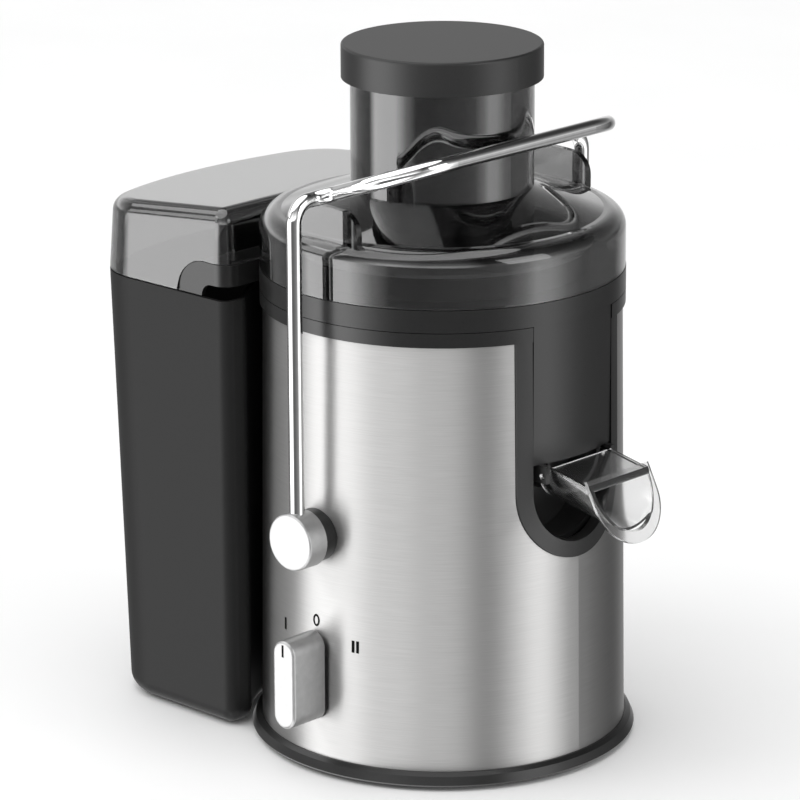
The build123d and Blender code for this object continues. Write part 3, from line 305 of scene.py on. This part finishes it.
finish_nodes(core_iron, "stator_core", "armature_core")
finish_nodes(copper, "field_coils", "commutator")
finish_nodes(carbon, "carbon_brushes")
finish_nodes(circuit_board, "control_board")
finish_nodes(
    housing_black, "brush_holders", "cooling_fan", "drive_coupling", "rotary_switch", "safety_switch",
    "switch_plunger",
)

# ---- upper housing and juice bowl ---------------------------------------------------------
# The housing is a black moulding that caps the sleeve with a collar and frames the outlet.
# The bowl lifts out of it, and its band, apron and saddle show. Both have a satin skin. The
# bosses that carry the bail are moulded in the same plastic.

finish_nodes(black_plastic, "upper_housing", "juice_bowl", "pivot_bosses")

# ---- filter basket ------------------------------------------------------------------------
# A cone of stainless mesh is crimped between a moulded hub and a rim ring, and the toothed
# grater disc is riveted to the hub. The hub drops onto the drive coupling.

basket_steel, _, _ = surface_finish("basket_steel", 0.6, 0.3, 0.1, 800.0, 0.05 * MM, metal=1.0)
finish_nodes(black_plastic, "basket_hub")
finish_nodes(basket_steel, "filter_mesh", "grater_disc", "basket_rim")

# ---- lid and spout ------------------------------------------------------------------------
# The lid is one see-through smoky moulding with the feed chute and the cover over the pulp
# container, and rests on the bowl's band. The drip spout is clear and hangs on two pins.


def clear_moulding(name, tint, roughness, shade):
    """A see-through moulding. Light that passes to cast a shadow is tinted by shade."""
    material = bpy.data.materials.new(name)
    material.use_nodes = True
    tree = material.node_tree
    shader = tree.nodes["Principled BSDF"]
    shader.inputs["Base Color"].default_value = (tint, tint, tint, 1.0)
    shader.inputs["Roughness"].default_value = roughness
    shader.inputs["IOR"].default_value = 1.55
    shader.inputs["Coat Weight"].default_value = 0.7
    shader.inputs["Coat IOR"].default_value = 1.6
    shader.inputs["Coat Roughness"].default_value = roughness
    shader.inputs["Transmission Weight"].default_value = 1.0
    path = tree.nodes.new("ShaderNodeLightPath")
    passing = tree.nodes.new("ShaderNodeBsdfTransparent")
    passing.inputs["Color"].default_value = (shade, shade, shade, 1.0)
    both = tree.nodes.new("ShaderNodeMixShader")
    wire(tree, path, "Is Shadow Ray", both, 0)
    wire(tree, shader, 0, both, 1)
    wire(tree, passing, 0, both, 2)
    wire(tree, both, 0, tree.nodes["Material Output"], "Surface")
    return material


finish_nodes(clear_moulding("smoky_clear", 0.20, 0.04, 0.6), "lid")
finish_nodes(clear_moulding("clear_spout", 0.88, 0.10, 0.95), "drip_spout")

# ---- bail and knobs -----------------------------------------------------------------------
# The bail is one polished chrome rod, bent over the lid to lock it down. Satin alloy knobs
# cover its pivot pins, and a bar of the same alloy is pressed onto the speed switch. A black
# cam behind the front knob works the interlock.

chrome, _, _ = surface_finish("chrome", 0.85, 0.06, 0.03, 300.0, 0.003 * MM, metal=1.0)
satin_alloy, _, _ = surface_finish(
    "satin_alloy", 0.46, 0.42, 0.05, 300.0, 0.005 * MM, rough=(0.38, 0.46), metal=1.0
)
finish_nodes(chrome, "locking_bail")
finish_nodes(satin_alloy, "front_pivot_knob", "rear_pivot_knob", "speed_knob")
finish_nodes(screw_steel, "pivot_pins")
finish_nodes(housing_black, "interlock_cam")

# ---- dial marks and pointer ---------------------------------------------------------------
# The three settings, one stroke, a ring and two strokes, are printed in black ink on the
# steel above the speed knob, and a dark line is let into the top of the knob's face.

dial_ink, _, shader = surface_finish("dial_ink", 0.006, 0.9, 0.1, 900.0, 0.002 * MM)
shader.inputs["Specular IOR Level"].default_value = 0.1

sleeve_low, sleeve_high = (np.array(corner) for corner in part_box("steel_sleeve"))
sleeve_foot_radius = -sleeve_low[0]
sleeve_taper = 2.5 * MM
ink_lift = 0.03 * MM
ink_depth = 0.06 * MM
stroke_width = 1.4 * MM
stroke_rise = 5.6 * MM
stroke_rows = 9
ring_width = 0.9 * MM
ring_half_width = 1.5 * MM
ring_half_height = 2.4 * MM
ring_height = 70.7 * MM
ring_rows = 48


def carried(path, side, out, width, depth, closed):
    """A closed skin: the rectangle with corners path +- side * width / 2 and out * (0 or depth),
    carried along the rows of path. An open path ends in flat caps, and a closed one meets
    itself. Faces point outwards where side x out runs against the path's direction."""
    half = side * width / 2
    lift = out * depth
    corners = np.stack([path - half, path + half, path + half + lift, path - half + lift], 1)
    rows = len(path)
    ring = np.arange(4)
    start = np.arange(rows if closed else rows - 1)[:, None] * 4
    after = (start + 4) % (rows * 4)
    quads = np.stack([start + ring, after + ring, after + (ring + 1) % 4, start + (ring + 1) % 4], 2)
    faces = quads.reshape(-1, 4).tolist()
    if not closed:
        faces += [[0, 1, 2, 3], [rows * 4 - 1, rows * 4 - 2, rows * 4 - 3, rows * 4 - 4]]
    return corners.reshape(-1, 3), faces


def new_piece(name, vertices, faces, material, body):
    """Put a surface into a mesh object that rides on a body."""
    mesh = bpy.data.meshes.new(name)
    mesh.from_pydata(vertices.tolist(), [], faces)
    mesh.materials.append(material)
    piece = bpy.data.objects.new(name, mesh)
    scene.collection.objects.link(piece)
    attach(piece, body)


def on_sleeve(x, z):
    """Points of the sleeve's cone at x and z on its front: y = -sqrt(R(z)^2 - x^2), where R
    falls evenly by sleeve_taper from foot to top."""
    share = (z - sleeve_low[2]) / (sleeve_high[2] - sleeve_low[2])
    radius = sleeve_foot_radius - share * sleeve_taper + ink_lift
    return np.stack([x, -np.sqrt(radius**2 - x**2), z], 1)


def outward(points):
    """Unit vectors away from the body's axis, level."""
    flat = points * (1, 1, 0)
    return flat / np.linalg.norm(flat, axis=1, keepdims=True)


for name, x, z in (
    ("dial_mark_one", -22.4 * MM, 63.0 * MM),
    ("dial_mark_two_left", 20.3 * MM, 62.5 * MM),
    ("dial_mark_two_right", 22.5 * MM, 62.5 * MM),
):
    line = on_sleeve(np.full(stroke_rows, x), z + np.linspace(-0.5, 0.5, stroke_rows) * stroke_rise)
    out = outward(line)
    side = np.cross((0, 0, 1), out)
    vertices, faces = carried(line, side, out, stroke_width, ink_depth, closed=False)
    new_piece(name, vertices, faces, dial_ink, "housing")

turns = np.linspace(0, TAU, ring_rows, endpoint=False)
line = on_sleeve(ring_half_width * np.cos(turns), ring_height + ring_half_height * np.sin(turns))
out = outward(line)
along = np.roll(line, -1, 0) - np.roll(line, 1, 0)
side = np.cross(along / np.linalg.norm(along, axis=1, keepdims=True), out)
vertices, faces = carried(line, side, out, ring_width, ink_depth, closed=True)
new_piece("dial_mark_off", vertices, faces, dial_ink, "housing")

knob_low, knob_high = (np.array(corner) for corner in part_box("speed_knob"))
pointer_rows = 8
pointer_width = 1.2 * MM
pointer_depth = 0.30 * MM
pointer_sink = 0.25 * MM
z = knob_high[2] - np.linspace(7.5, 1.8, pointer_rows) * MM
line = np.stack([np.zeros(pointer_rows), np.full(pointer_rows, knob_low[1] + pointer_sink), z], 1)
vertices, faces = carried(
    line, np.array([(1.0, 0, 0)]), np.array([(0, -1.0, 0)]), pointer_width, pointer_depth, closed=False
)
new_piece("knob_pointer", vertices, faces, dial_ink, "speed_control")

# ---- pusher -------------------------------------------------------------------------------
# A dark glossy tube that slides in the chute and presses the fruit down. A matt black cap is
# snapped onto its top.

cap_black, _, _ = surface_finish("cap_black", 0.015, 0.4, 0.1, 1200.0, 0.01 * MM)
pusher_dark, _, _ = surface_finish("pusher_dark", 0.006, 0.15, 0.1, 600.0, 0.002 * MM)
finish_nodes(cap_black, "pusher_cap")
finish_nodes(pusher_dark, "pusher_body")

# ---- pulp container -----------------------------------------------------------------------
# A tall black bin that stands on the table with its hollow side against the body and its top
# under the lid's cover. It has a matt skin and slides away once the lid is off.

container_black, _, shader = surface_finish("container_black", 0.013, 0.5, 0.05, 900.0, 0.01 * MM)
shader.inputs["Specular IOR Level"].default_value = 0.22
finish_nodes(container_black, "pulp_container")
